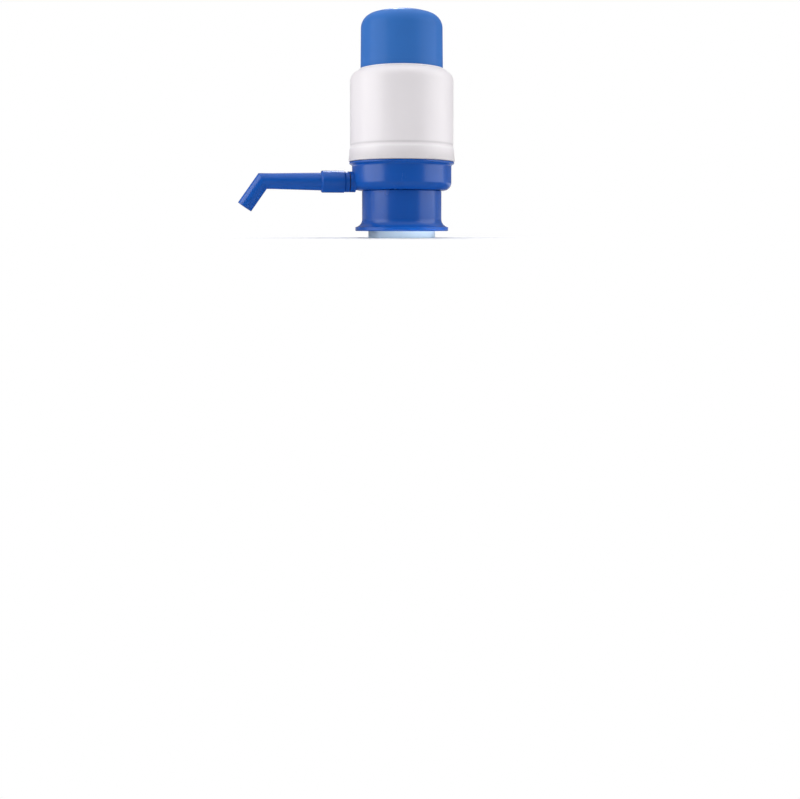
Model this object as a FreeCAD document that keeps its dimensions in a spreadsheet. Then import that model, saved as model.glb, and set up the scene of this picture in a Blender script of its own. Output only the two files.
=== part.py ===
import FreeCAD, Part
import math
import os
import Sketcher
from FreeCAD import Placement, Rotation, Vector

# Hand pump for a water jug. The origin is on the pump's axis at the mouth of the grip
# sleeve, +Z points up and the spout points along -X. All sizes are in millimetres.

SIZES = {
    # grip sleeve and the jug neck that it holds
    "neck_radius": (27.4, "bore of the grip sleeve, for a 55 mm jug neck"),
    "grip_band_radius": (28.4, "closed band that shows under the collar"),
    "grip_height": (25.0, "mouth to finger tips"),
    "grip_shoulder_radius": (30.9, "step that the collar lifts"),
    "grip_shoulder_low": (8.2, "underside of that step"),
    "grip_shoulder_top": (10.4, "top of that step"),
    "grip_cone_low_radius": (29.6, "wedge at the step"),
    "grip_cone_top_radius": (28.7, "wedge at the finger tips"),
    "grip_slot_width": (1.6, "slot between two fingers"),
    "grip_slot_floor": (6.4, "where the slots end"),
    "wedge_gap": (0.3, "play between the wedge and the base"),
    # collar
    "collar_low": (5.9, "underside of the flange"),
    "collar_high": (39.85, "upper end"),
    "collar_radius": (33.7, "barrel"),
    "collar_bore_radius": (32.0, "over the base's thread"),
    "collar_flange_radius": (39.5, "flange"),
    "collar_flange_top": (9.1, "flange's edge"),
    "collar_flare_radius": (6.8, "sweep from barrel to flange"),
    "collar_lip_radius": (28.7, "inner lip under the grip's step"),
    "collar_lip_top": (8.15, "top of the lip"),
    "collar_relief_radius": (32.6, "runout over the thread's end"),
    # base
    "skirt_radius": (30.9, "threaded skirt, at the root of its thread"),
    "skirt_low": (11.6, "lower end of the skirt"),
    "cup_radius": (42.1, "outside of the cup"),
    "cup_low": (40.0, "underside of the cup"),
    "cup_corner_radius": (6.5, "rounded lower edge of the cup"),
    "cup_inner_radius": (39.7, "inside of the cup"),
    "cup_floor": (42.4, "floor of the cup"),
    "flange_radius": (44.35, "flange under the sleeve"),
    "flange_low": (62.0, "underside of the flange"),
    "flange_sweep": (2.0, "concave sweep from the cup to the flange"),
    "flange_top": (64.1, "top of the flange"),
    "upstand_radius": (41.1, "ring inside the sleeve"),
    "upstand_inner_radius": (38.9, "inside of that ring"),
    "upstand_top": (69.0, "top of that ring"),
    "snap_bead": (0.6, "height of the bead that holds the sleeve"),
    "snap_low": (66.0, "lower edge of the bead"),
    "snap_width": (1.4, "width of the bead"),
    "ledge_radius": (36.5, "inner edge of the deck's seat"),
    "ledge_top": (62.0, "deck's seat"),
    "ceiling_low": (28.0, "partition over the jug's mouth, underside"),
    "ceiling_top": (30.4, "partition over the jug's mouth, top"),
    "well_radius": (28.8, "well above the partition"),
    "column_radius": (8.0, "water column"),
    "column_low": (26.0, "mouth of the dip tube's socket"),
    "column_top": (54.6, "closed top of the column"),
    "tube_socket_radius": (5.1, "dip tube's socket"),
    "tube_socket_depth": (14.0, "depth of that socket"),
    "water_radius": (3.0, "water way"),
    "gallery_radius": (6.9, "outside of the side way"),
    "spout_height": (47.1, "axis of the spout's socket"),
    "outlet_boss_radius": (8.7, "boss on the cup's side"),
    "outlet_boss_end": (44.8, "face of that boss"),
    "shank_bore_radius": (5.65, "bore for the nipple's shank"),
    "air_hole_radius": (2.2, "air holes to the jug"),
    "air_hole_circle": (15.0, "their circle"),
    "screw_boss_radius": (3.6, "bosses under the deck"),
    "deck_screw_circle": (34.0, "circle of the deck's screws"),
    # nipple, its seals and the spout
    "shank_radius": (5.6, "shank in the base"),
    "shank_length": (12.0, "length of the shank"),
    "washer_thick": (0.8, "washer under the nipple's ring"),
    "washer_radius": (8.0, "outside of that washer"),
    "nipple_ring_end": (4.4, "outer face of the ring"),
    "spigot_radius": (6.0, "spigot in the spout"),
    "spigot_end": (21.6, "end of the spigot"),
    "spigot_groove_radius": (4.2, "floor of the ring grooves"),
    "spigot_groove_width": (2.2, "width of the ring grooves"),
    "first_groove": (9.0, "first groove"),
    "second_groove": (15.0, "second groove"),
    "spout_ring_radius": (5.08, "centre line of the O-rings"),
    "spout_ring_thick": (0.87, "half thickness of the O-rings"),
    "spout_face": (49.4, "spout's inner face, from the pump's axis"),
    "socket_radius": (9.2, "socket ring of the spout"),
    "socket_length": (19.2, "length of that ring"),
    "socket_bore_radius": (6.05, "runs on the spigot"),
    "socket_bore_depth": (17.8, "depth of that bore"),
    "tube_root_radius": (7.4, "tube at the socket"),
    "tube_radius": (6.5, "tube at the bend and in the tip"),
    "tube_wall": (1.7, "wall of the tube"),
    "bend_distance": (67.8, "socket face to the mitred bend"),
    "tip_length": (26.0, "bend to the outlet"),
    "tip_angle": (55.0, "tip below the tube's axis, in degrees"),
    # deck, ring, bellows and spring
    "deck_radius": (38.6, "deck"),
    "deck_top": (65.0, "upper face of the deck"),
    "rebate_radius": (37.1, "rebate for the deck's seal"),
    "rebate_height": (1.7, "height of that rebate"),
    "deck_ring_radius": (37.98, "centre line of the deck's seal"),
    "deck_ring_thick": (0.8, "half thickness of the deck's seal"),
    "valve_hole_circle": (7.5, "circle of the valve's holes"),
    "valve_hole_radius": (1.6, "valve's holes"),
    "stem_hole_radius": (2.1, "hole for the valve's stem"),
    "spring_guide_radius": (16.7, "ring inside the spring"),
    "clamp_inner_radius": (29.4, "clamp ring, inside"),
    "clamp_outer_radius": (37.6, "clamp ring, outside"),
    "foot_top": (67.0, "top of the bellows' foot"),
    "clamp_top": (69.5, "top of the clamp ring"),
    "bellows_root_radius": (28.6, "root of the folds"),
    "bellows_crest_radius": (40.0, "crest of the folds"),
    "bellows_wall": (1.5, "wall of the folds"),
    "folds_low": (74.0, "first fold"),
    "folds_high": (121.5, "last fold"),
    "bead_radius": (36.0, "rim that wraps the top plate"),
    "bead_low": (123.0, "underside of the rim"),
    "bead_top": (128.4, "top of the rim"),
    "spring_radius": (18.0, "coil's centre line"),
    "spring_wire": (1.0, "half the wire's thickness"),
    "spring_rise": (5.32, "rise of each open half turn"),
    "spring_end_rise": (1.05, "rise of each closed half turn at the ends"),
    # top plate and cap
    "plate_radius": (33.0, "top plate"),
    "plate_low": (124.9, "underside of the plate"),
    "plate_top": (127.2, "upper face of the plate"),
    "cap_screw_circle": (24.0, "circle of the cap's screws"),
    "cap_low": (128.5, "underside of the cap's guide flange"),
    "guide_flange_radius": (40.9, "guide flange inside the sleeve"),
    "guide_flange_top": (131.5, "top of that flange"),
    "cap_foot_radius": (34.85, "wall at the guide flange"),
    "cap_head_radius": (34.3, "wall under the crown"),
    "cap_apex": (191.7, "top of the pump"),
    "crown_radius": (80.0, "dome of the crown"),
    "knuckle_radius": (12.0, "rounding of the crown's edge"),
    "cap_wall": (2.2, "wall of the cap"),
    "cap_boss_radius": (3.4, "half width of the cap's screw bosses"),
    # sleeve
    "sleeve_low": (64.3, "lower edge of the sleeve"),
    "sleeve_foot_radius": (45.0, "flared lower edge"),
    "band_radius": (44.2, "top of the lower band"),
    "band_top": (75.3, "step of the lower band"),
    "foot_flare": (90.0, "sweep of the lower band"),
    "valley_top": (79.4, "upper end of the shallow valley above the band"),
    "valley_radius": (5.0, "curve of that valley"),
    "sleeve_radius": (43.65, "body of the sleeve"),
    "sleeve_inner_radius": (41.45, "inside of the sleeve"),
    "shoulder_start": (131.2, "where the shoulder begins"),
    "shoulder_radius": (9.0, "rounding of the shoulder"),
    "lip_radius": (37.1, "raised lip, outside"),
    "lip_top": (141.4, "raised lip, top"),
    "lip_round": (1.4, "rounding of the lip's outer edge"),
    "lip_bore_radius": (35.15, "opening for the cap"),
    "guide_low": (132.0, "lower end of the guide ring"),
    "guide_radius": (37.2, "outside of the guide ring"),
    # small parts
    "screw_radius": (1.5, "shank of every screw"),
    "screw_hole_radius": (1.7, "clearance hole"),
    "pilot_radius": (1.55, "hole in a boss"),
    "screw_head_radius": (2.9, "screw head"),
    "screw_head_height": (1.6, "screw head"),
    "deck_screw_length": (17.5, "under and with the head"),
    "cap_screw_length": (12.0, "under the head"),
    "gasket_inner_radius": (21.0, "neck gasket, inside"),
    "gasket_thick": (2.0, "neck gasket"),
    "valve_radius": (11.0, "valve's disc"),
    # edges, ribs and slots
    "edge_round": (0.8, "rounding of the outer edges"),
    "fine_round": (0.3, "rounding of the lip's opening"),
    "rib_thick": (1.4, "ribs of the deck, top plate and cap"),
    "rib_height": (2.0, "ribs of the deck and top plate, above their plate"),
    "guide_height": (2.0, "rings that centre the spring, above their plate"),
    "guide_thick": (1.5, "foot of those rings"),
    "guide_draft": (0.3, "taper of those rings"),
    "breather_width": (5.0, "windows in the foot of the cap's wall"),
    "breather_height": (3.0, "height of those windows"),
    "notch_width": (6.0, "notches in the guide flange"),
    "notch_depth": (2.5, "depth of those notches"),
    "cap_rib_depth": (2.6, "upright ribs inside the cap"),
}


class Size:
    """A length that knows its value and the expression that gives it."""

    def __init__(self, value, text):
        self.value = value
        self.text = text

    def joined(self, sign, other, value):
        return Size(value, "(%s %s %s)" % (self.text, sign, words(other)))

    def __add__(self, other):
        return self.joined("+", other, self.value + number(other))

    def __sub__(self, other):
        return self.joined("-", other, self.value - number(other))

    def __mul__(self, other):
        return self.joined("*", other, self.value * number(other))

    def __truediv__(self, other):
        return self.joined("/", other, self.value / number(other))

    def __neg__(self):
        return self * -1


def number(size):
    return size.value if isinstance(size, Size) else float(size)


def words(size):
    return size.text if isinstance(size, Size) else repr(float(size))


def root(size):
    return Size(math.sqrt(size.value), "sqrt(%s)" % size.text)


def domeHeight(apex, radius, distance):
    """Height of a dome at this distance from its axis."""
    return apex - radius + root(radius * radius - distance * distance)


doc = FreeCAD.newDocument("WaterJugHandPump")
subParts = []


def makeSheet():
    """The spreadsheet of driving dimensions; returns each one as a Size."""
    sheet = doc.addObject("Spreadsheet::Sheet", "Dims")
    found = {}
    for row, (alias, (value, note)) in enumerate(SIZES.items(), start=1):
        sheet.set("A%d" % row, note)
        sheet.set("B%d" % row, str(value))
        sheet.setAlias("B%d" % row, alias)
        found[alias] = Size(value, "Dims." + alias)
    doc.recompute()
    return found


dim = makeSheet()


# ---- helpers for bodies, sketches and features ----

def newBody(name):
    body = doc.addObject("PartDesign::Body", name)
    body.Label = name
    subParts.append(body)
    return body


def originPlane(body, role):
    return next(item for item in body.Origin.OriginFeatures if item.Role == role)


def newSketch(body, name, role, offset=None):
    """A sketch on one of the body's own planes; offset moves it along the plane's normal."""
    sketch = body.newObject("Sketcher::SketchObject", name)
    sketch.AttachmentSupport = [(originPlane(body, role), "")]
    sketch.MapMode = "FlatFace"
    if offset is not None:
        sketch.setExpression("AttachmentOffset.Base.z", words(offset))
    return sketch


def drive(sketch, constraint, size):
    index = sketch.addConstraint(constraint)
    if isinstance(size, Size):
        sketch.setExpression("Constraints[%d]" % index, size.text)


CUT_PAST = 1    # how far a cut runs past a face that it opens
JOIN_IN = 0.5   # how far a pad runs into the wall that it joins
PLAY = 0.1      # looseness between pieces that only touch


def pinPoint(sketch, edge, end, x, y):
    """Ties one point of an edge to its two coordinates."""
    for kind, size, axis in (("DistanceX", x, -2), ("DistanceY", y, -1)):
        if number(size) == 0:
            sketch.addConstraint(Sketcher.Constraint("PointOnObject", edge, end, axis))
        else:
            drive(sketch, Sketcher.Constraint(kind, edge, end, number(size)), size)


def arcBetween(start, end, radius):
    """The short arc, drawn anticlockwise; a positive radius has its centre left of the way."""
    if radius < 0:
        start, end = end, start
    chord = end - start
    left = Vector(-chord.y, chord.x, 0).normalize()
    rise = abs(radius) - math.sqrt(radius ** 2 - chord.Length ** 2 / 4)
    return Part.Arc(start, (start + end) / 2 - left * rise, end)


def drawProfile(sketch, points):
    """A closed outline. A third entry in a point is the radius of an arc to the next point."""
    corners = [Vector(number(point[0]), number(point[1]), 0) for point in points]
    edges = []
    starts = []
    for index, point in enumerate(points):
        start = corners[index]
        end = corners[(index + 1) % len(points)]
        if len(point) == 3:
            edge = sketch.addGeometry(arcBetween(start, end, number(point[2])))
            flipped = number(point[2]) < 0
        else:
            edge = sketch.addGeometry(Part.LineSegment(start, end))
            flipped = False
        edges.append(edge)
        starts.append(2 if flipped else 1)
    for index, point in enumerate(points):
        after = (index + 1) % len(points)
        sketch.addConstraint(Sketcher.Constraint(
            "Coincident", edges[index], 3 - starts[index], edges[after], starts[after]))
        pinPoint(sketch, edges[index], starts[index], point[0], point[1])
        if len(point) == 3:
            radius = point[2] if number(point[2]) > 0 else -point[2]
            drive(sketch, Sketcher.Constraint("Radius", edges[index], number(radius)), radius)


def drawCircle(sketch, radius, x=0, y=0):
    """A circle at x, y of the sketch."""
    edge = sketch.addGeometry(Part.Circle(Vector(number(x), number(y), 0), Vector(0, 0, 1),
                                          number(radius)))
    drive(sketch, Sketcher.Constraint("Radius", edge, number(radius)), radius)
    pinPoint(sketch, edge, 3, x, y)


def checkedCut(body, feature):
    """Recomputes a cutting feature and makes sure that it took material away."""
    before = body.Tip.BaseFeature.Shape.Volume if body.Tip.BaseFeature else 0
    doc.recompute()
    if not feature.Shape.Volume < before:
        raise ValueError("%s cuts nothing" % feature.Name)
    return feature


def revolve(body, name, points, axis="V_Axis"):
    """Turns an outline in the XZ plane about the body's Z axis, or X with H_Axis."""
    sketch = newSketch(body, name + "Outline", "XZ_Plane")
    drawProfile(sketch, points)
    feature = body.newObject("PartDesign::Revolution", name)
    feature.Profile = sketch
    feature.ReferenceAxis = (sketch, [axis])
    feature.Angle = 360
    doc.recompute()
    return feature


def groove(body, name, points, axis="V_Axis"):
    sketch = newSketch(body, name + "Outline", "XZ_Plane")
    drawProfile(sketch, points)
    feature = body.newObject("PartDesign::Groove", name)
    feature.Profile = sketch
    feature.ReferenceAxis = (sketch, [axis])
    feature.Angle = 360
    return checkedCut(body, feature)


def padCircle(body, name, radius, low, high, x=0, y=0):
    """A round post from one height to another."""
    sketch = newSketch(body, name + "Outline", "XY_Plane", low)
    drawCircle(sketch, radius, x, y)
    feature = body.newObject("PartDesign::Pad", name)
    feature.Profile = sketch
    feature.setExpression("Length", words(high - low))
    doc.recompute()
    return feature


def pocketCircle(body, name, radius, low, high, x=0, y=0):
    """A round hole from one height to another."""
    sketch = newSketch(body, name + "Outline", "XY_Plane", high)
    drawCircle(sketch, radius, x, y)
    feature = body.newObject("PartDesign::Pocket", name)
    feature.Profile = sketch
    feature.setExpression("Length", words(high - low))
    return checkedCut(body, feature)


def slab(body, name, kind, points, width):
    """Pads or pockets an outline in the XZ plane evenly to both sides of that plane."""
    sketch = newSketch(body, name + "Outline", "XZ_Plane")
    drawProfile(sketch, points)
    feature = body.newObject(kind, name)
    feature.Profile = sketch
    feature.Midplane = True
    feature.setExpression("Length", words(width))
    doc.recompute()
    return feature


def sector(body, name, points, angle):
    """Turns an outline in the YZ plane about the body's Z axis, evenly to both sides."""
    sketch = newSketch(body, name + "Outline", "YZ_Plane")
    drawProfile(sketch, points)
    feature = body.newObject("PartDesign::Revolution", name)
    feature.Profile = sketch
    feature.ReferenceAxis = (sketch, ["V_Axis"])
    feature.Midplane = True
    feature.Angle = angle
    doc.recompute()
    return feature


def around(body, name, feature, count):
    """Repeats a feature about the body's Z axis."""
    pattern = body.newObject("PartDesign::PolarPattern", name)
    pattern.Originals = [feature]
    pattern.Axis = (originPlane(body, "Z_Axis"), [""])
    pattern.Angle = 360
    pattern.Occurrences = count
    body.Tip = pattern
    doc.recompute()
    return pattern


def circleEdges(feature, radius, height):
    """Names of the round edges about Z with this radius at this height."""
    names = []
    for index, edge in enumerate(feature.Shape.Edges, start=1):
        if edge.Degenerated or edge.Curve.TypeId != "Part::GeomCircle":
            continue
        middle = edge.BoundBox.Center.z
        if abs(edge.Curve.Radius - number(radius)) < 0.01 and abs(middle - number(height)) < 0.01:
            names.append("Edge%d" % index)
    if not names:
        raise ValueError("no round edge of %s at %s" % (number(radius), number(height)))
    return names


def soften(body, name, kind, edges, size):
    """A fillet or chamfer on the body's last feature."""
    feature = body.newObject(kind, name)
    feature.Base = (body.Tip.BaseFeature, edges)
    if kind.endswith("Fillet"):
        feature.setExpression("Radius", words(size))
    else:
        feature.setExpression("Size", words(size))
    doc.recompute()
    return feature


def fillet(body, name, edges, radius):
    return soften(body, name, "PartDesign::Fillet", edges, radius)


def chamfer(body, name, edges, size):
    return soften(body, name, "PartDesign::Chamfer", edges, size)


def place(item, x=0, y=0, z=0, turn=Rotation()):
    """Puts an object at x, y, z by expressions on its Placement."""
    item.Placement = Placement(Vector(number(x), number(y), number(z)), turn)
    for axis, size in (("x", x), ("y", y), ("z", z)):
        if isinstance(size, Size):
            item.setExpression("Placement.Base." + axis, size.text)


def primitive(kind, name, sizes):
    """A Part primitive with its sizes bound to the sheet."""
    item = doc.addObject(kind, name)
    for key, size in sizes.items():
        item.setExpression(key, words(size))
    return item


# ---- the jug neck's side: grip sleeve, collar, gasket ----

def makeNeckCollet():
    """Slotted grip sleeve: closed band below, step for the collar, wedge fingers above."""
    body = newBody("neck_collet")
    bore = dim["neck_radius"]
    band = dim["grip_band_radius"]
    step = dim["grip_shoulder_radius"]
    draft = 0.2
    wedgeLead = 0.6
    revolve(body, "GripWall", [
        (bore, 0),
        (band - draft, 0),
        (band, draft * 6),
        (band, dim["grip_shoulder_low"]),
        (step, dim["grip_shoulder_low"]),
        (step, dim["grip_shoulder_top"]),
        (dim["grip_cone_low_radius"], dim["grip_shoulder_top"] + wedgeLead),
        (dim["grip_cone_top_radius"], dim["grip_height"]),
        (bore, dim["grip_height"]),
    ])
    slot = slab(body, "GripSlot", "PartDesign::Pocket", [
        (bore - CUT_PAST, dim["grip_slot_floor"]),
        (step + CUT_PAST, dim["grip_slot_floor"]),
        (step + CUT_PAST, dim["grip_height"] + CUT_PAST),
        (bore - CUT_PAST, dim["grip_height"] + CUT_PAST),
    ], dim["grip_slot_width"])
    around(body, "GripSlots", slot, 8)
    return body


def makeClampCollar():
    """Nut with a barrel, a swept flange and an inner lip that lifts the grip sleeve."""
    body = newBody("clamp_collar")
    low = dim["collar_low"]
    barrel = dim["collar_radius"]
    flare = dim["collar_flare_radius"]
    flangeTop = dim["collar_flange_top"]
    bore = dim["collar_bore_radius"]
    overhang = flare - (dim["collar_flange_radius"] - barrel)
    flareRise = root(flare * flare - overhang * overhang)
    threadLead = 1.4
    wall = revolve(body, "CollarWall", [
        (dim["collar_lip_radius"], low),
        (dim["collar_flange_radius"], low),
        (dim["collar_flange_radius"], flangeTop, -flare),
        (barrel, flangeTop + flareRise),
        (barrel, dim["collar_high"]),
        (bore, dim["collar_high"]),
        (bore, dim["skirt_low"] + threadLead),
        (dim["collar_relief_radius"], dim["skirt_low"]),
        (dim["collar_relief_radius"], dim["collar_lip_top"]),
        (dim["collar_lip_radius"], dim["collar_lip_top"]),
    ])
    edges = circleEdges(wall, dim["collar_flange_radius"], low)
    fillet(body, "FlangeEdge", edges, dim["edge_round"])
    edges = circleEdges(body.Tip, barrel, dim["collar_high"])
    fillet(body, "BarrelEdge", edges, dim["edge_round"])
    return body


def makeNeckGasket():
    """Flat ring between the jug's mouth and the base."""
    body = newBody("neck_gasket")
    thick = dim["gasket_thick"]
    outer = dim["grip_cone_top_radius"]
    revolve(body, "GasketRing", [
        (dim["gasket_inner_radius"], 0),
        (outer, 0),
        (outer, thick),
        (dim["gasket_inner_radius"], thick),
    ])
    place(body, z=dim["ceiling_low"] - thick)
    return body


# ---- the base ----

def makeBaseBody():
    """Flanged cup over a threaded skirt, with the water column, side way and screw bosses."""
    body = newBody("base_body")
    skirt = dim["skirt_radius"]
    cup = dim["cup_radius"]
    corner = dim["cup_corner_radius"]
    inner = dim["cup_inner_radius"]
    floor = dim["cup_floor"]
    wall = dim["cup_radius"] - dim["cup_inner_radius"]
    gap = dim["wedge_gap"]
    sweep = dim["flange_sweep"]
    ledge = dim["ledge_top"]
    ledgeThick = 1.6
    ledgeReach = dim["cup_inner_radius"] - dim["ledge_radius"]
    upstand = dim["upstand_radius"]
    bead = dim["snap_bead"]
    beadLow = dim["snap_low"]
    revolve(body, "BaseWall", [
        (0, dim["ceiling_low"]),
        (dim["grip_cone_top_radius"] + gap, dim["ceiling_low"]),
        (dim["grip_cone_top_radius"] + gap, dim["grip_height"]),
        (dim["grip_cone_low_radius"] + gap, dim["skirt_low"]),
        (skirt, dim["skirt_low"]),
        (skirt, dim["cup_low"]),
        (cup - corner, dim["cup_low"], corner),
        (cup, dim["cup_low"] + corner),
        (cup, dim["flange_low"] - sweep, -sweep),
        (cup + sweep, dim["flange_low"]),
        (dim["flange_radius"], dim["flange_low"]),
        (dim["flange_radius"], dim["flange_top"]),
        (upstand, dim["flange_top"]),
        (upstand, beadLow),
        (upstand + bead, beadLow + bead),
        (upstand, beadLow + dim["snap_width"]),
        (upstand, dim["upstand_top"]),
        (dim["upstand_inner_radius"], dim["upstand_top"]),
        (dim["upstand_inner_radius"], ledge),
        (dim["ledge_radius"], ledge),
        (dim["ledge_radius"], ledge - ledgeThick),
        (inner, ledge - ledgeThick - ledgeReach),
        (inner, floor + corner - wall, -(corner - wall)),
        (inner - corner + wall, floor),
        (dim["well_radius"], floor),
        (dim["well_radius"], dim["ceiling_top"]),
        (0, dim["ceiling_top"]),
    ])
    edges = circleEdges(body.Tip, dim["flange_radius"], dim["flange_low"])
    edges += circleEdges(body.Tip, dim["flange_radius"], dim["flange_top"])
    fillet(body, "FlangeEdges", edges, dim["edge_round"])
    addWaterWay(body)
    addDeckBosses(body)
    hole = pocketCircle(body, "AirHole", dim["air_hole_radius"], dim["ceiling_low"] - CUT_PAST,
                        dim["ceiling_top"] + CUT_PAST, y=dim["air_hole_circle"])
    around(body, "AirHoles", hole, 4)
    return body


def sideSketch(body, name, distance, radius):
    """A circle on a plane across the X axis, this far out on the spout's side."""
    sketch = newSketch(body, name, "YZ_Plane", -distance)
    drawCircle(sketch, radius, 0, dim["spout_height"])
    return sketch


def addWaterWay(body):
    """Column with the dip tube's socket, side tube, outlet boss and their bores."""
    padCircle(body, "Column", dim["column_radius"], dim["column_low"], dim["column_top"])
    inner = dim["cup_inner_radius"] + JOIN_IN
    shankPlay = 0.5
    for name, radius, start, end in (
            ("Gallery", dim["gallery_radius"], 0, inner),
            ("OutletBoss", dim["outlet_boss_radius"], inner, dim["outlet_boss_end"])):
        pad = body.newObject("PartDesign::Pad", name)
        pad.Profile = sideSketch(body, name + "Outline", start, radius)
        pad.setExpression("Length", words(end - start))
        pad.Reversed = True
        doc.recompute()
    for name, radius, start in (
            ("SideBore", dim["water_radius"], 0),
            ("ShankBore", dim["shank_bore_radius"],
             dim["outlet_boss_end"] - dim["shank_length"] - shankPlay)):
        pocket = body.newObject("PartDesign::Pocket", name)
        pocket.Profile = sideSketch(body, name + "Outline", start, radius)
        pocket.setExpression("Length", words(dim["outlet_boss_end"] + CUT_PAST - start))
        checkedCut(body, pocket)
    socketTop = dim["column_low"] + dim["tube_socket_depth"]
    pocketCircle(body, "TubeSocket", dim["tube_socket_radius"], dim["column_low"] - CUT_PAST, socketTop)
    pocketCircle(body, "RiserBore", dim["water_radius"], socketTop - CUT_PAST, dim["spout_height"])


def screwReach():
    """How far the first deck screw is along X and along Y, at 45 degrees."""
    return dim["deck_screw_circle"] * math.cos(math.radians(45))


def addDeckBosses(body):
    """Four screw bosses on the cup's floor, with pilot holes."""
    reach = screwReach()
    ledge = dim["ledge_top"]
    pilotDepth = 15
    boss = padCircle(body, "DeckBoss", dim["screw_boss_radius"], dim["cup_floor"] - JOIN_IN, ledge,
                     reach, reach)
    around(body, "DeckBosses", boss, 4)
    pilot = pocketCircle(body, "DeckPilot", dim["pilot_radius"], ledge - pilotDepth, ledge, reach, reach)
    around(body, "DeckPilots", pilot, 4)


# ---- nipple, seals and spout: built along +X, turned to point along -X ----

HALF_TURN = Rotation(Vector(0, 0, 1), 180)


def makeSpoutNipple():
    """Ring with a shank for the base and a grooved spigot for the spout."""
    body = newBody("spout_nipple")
    bore = dim["water_radius"]
    spigot = dim["spigot_radius"]
    washer = dim["washer_thick"]
    nose = 0.8
    ease = 0.5
    revolve(body, "NippleWall", [
        (-dim["shank_length"], bore),
        (dim["spigot_end"], bore),
        (dim["spigot_end"], spigot - nose),
        (dim["spigot_end"] - nose, spigot),
        (dim["nipple_ring_end"], spigot),
        (dim["nipple_ring_end"], dim["outlet_boss_radius"] - ease),
        (dim["nipple_ring_end"] - ease, dim["outlet_boss_radius"]),
        (washer, dim["outlet_boss_radius"]),
        (washer, dim["shank_radius"]),
        (-dim["shank_length"], dim["shank_radius"]),
    ], "H_Axis")
    for name, start in (("FirstGroove", dim["first_groove"]),
                        ("SecondGroove", dim["second_groove"])):
        end = start + dim["spigot_groove_width"]
        groove(body, name, [
            (start, dim["spigot_groove_radius"]),
            (end, dim["spigot_groove_radius"]),
            (end, spigot + CUT_PAST),
            (start, spigot + CUT_PAST),
        ], "H_Axis")
    place(body, x=-dim["outlet_boss_end"], z=dim["spout_height"], turn=HALF_TURN)
    return body


def makeNippleSeal():
    """Flat washer between the boss and the nipple's ring."""
    body = newBody("nipple_seal")
    revolve(body, "Washer", [
        (0, dim["shank_radius"] + PLAY),
        (dim["washer_thick"], dim["shank_radius"] + PLAY),
        (dim["washer_thick"], dim["washer_radius"]),
        (0, dim["washer_radius"]),
    ], "H_Axis")
    place(body, x=-dim["outlet_boss_end"], z=dim["spout_height"], turn=HALF_TURN)
    return body


def makeSpoutRings():
    """Two O-rings in the spigot's grooves."""
    rings = []
    for name, start in (("FirstRing", dim["first_groove"]), ("SecondRing", dim["second_groove"])):
        ring = primitive("Part::Torus", name, {
            "Radius1": dim["spout_ring_radius"], "Radius2": dim["spout_ring_thick"]})
        middle = start + dim["spigot_groove_width"] / 2
        place(ring, x=-(dim["outlet_boss_end"] + middle), z=dim["spout_height"],
              turn=Rotation(Vector(0, 1, 0), 90))
        rings.append(ring)
    return group("spout_o_rings", rings)


def group(name, items):
    """One sub-part made of separate solids."""
    compound = doc.addObject("Part::Compound", name)
    compound.Label = name
    compound.Links = items
    subParts.append(compound)
    doc.recompute()
    return compound


def pipeAlong(body, name, kind, radius, start, tipExtra):
    """A round bar or bore from start on the X axis, round the mitred bend and along the tip."""
    tilt = math.radians(number(dim["tip_angle"]))
    bend = dim["bend_distance"]
    reach = dim["tip_length"] + tipExtra
    path = newSketch(body, name + "Path", "XZ_Plane")
    endX = bend + reach * math.cos(tilt)
    endZ = -(reach * math.sin(tilt))
    first = path.addGeometry(Part.LineSegment(
        Vector(number(start), 0, 0), Vector(number(bend), 0, 0)))
    second = path.addGeometry(Part.LineSegment(
        Vector(number(bend), 0, 0), Vector(number(endX), number(endZ), 0)))
    path.addConstraint(Sketcher.Constraint("Coincident", first, 2, second, 1))
    pinPoint(path, first, 1, start, 0)
    pinPoint(path, second, 1, bend, 0)
    pinPoint(path, second, 2, endX, endZ)
    section = newSketch(body, name + "Section", "YZ_Plane", start)
    drawCircle(section, radius)
    doc.recompute()
    pipe = body.newObject(kind, name)
    pipe.Profile = section
    pipe.Spine = (path, ["Edge1", "Edge2"])
    pipe.Transition = "Right corner"
    doc.recompute()
    return pipe


def makeSpout():
    """Socket ring, tapered tube and mitred tip, hollow all the way."""
    body = newBody("spout")
    ring = dim["socket_radius"]
    ringEnd = dim["socket_length"]
    tube = dim["tube_radius"]
    bendLap = 8
    join = dim["bend_distance"] - bendLap
    wall = dim["tube_wall"]
    ease = 0.4
    solid = revolve(body, "SpoutBar", [
        (0, 0),
        (0, ring - ease),
        (ease, ring),
        (ringEnd, ring),
        (ringEnd, dim["tube_root_radius"]),
        (join, tube),
        (join, 0),
    ], "H_Axis")
    names = []
    for index, edge in enumerate(solid.Shape.Edges, start=1):
        if not edge.Degenerated and edge.Curve.TypeId == "Part::GeomCircle":
            if abs(edge.BoundBox.Center.x - number(ringEnd)) < 0.01:
                names.append("Edge%d" % index)
    fillet(body, "RingEnd", names, dim["edge_round"])
    pipeAlong(body, "TipBar", "PartDesign::AdditivePipe", tube, join - JOIN_IN, 0)
    pipeAlong(body, "TipBore", "PartDesign::SubtractivePipe", tube - wall, join - JOIN_IN, CUT_PAST)
    groove(body, "TubeBore", [
        (-CUT_PAST, 0),
        (-CUT_PAST, dim["socket_bore_radius"]),
        (dim["socket_bore_depth"], dim["socket_bore_radius"]),
        (dim["socket_bore_depth"], dim["tube_root_radius"] - wall),
        (join, tube - wall),
        (join, 0),
    ], "H_Axis")
    place(body, x=-dim["spout_face"], z=dim["spout_height"], turn=HALF_TURN)
    return body


# ---- deck, valves, clamp ring and seals ----

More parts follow.
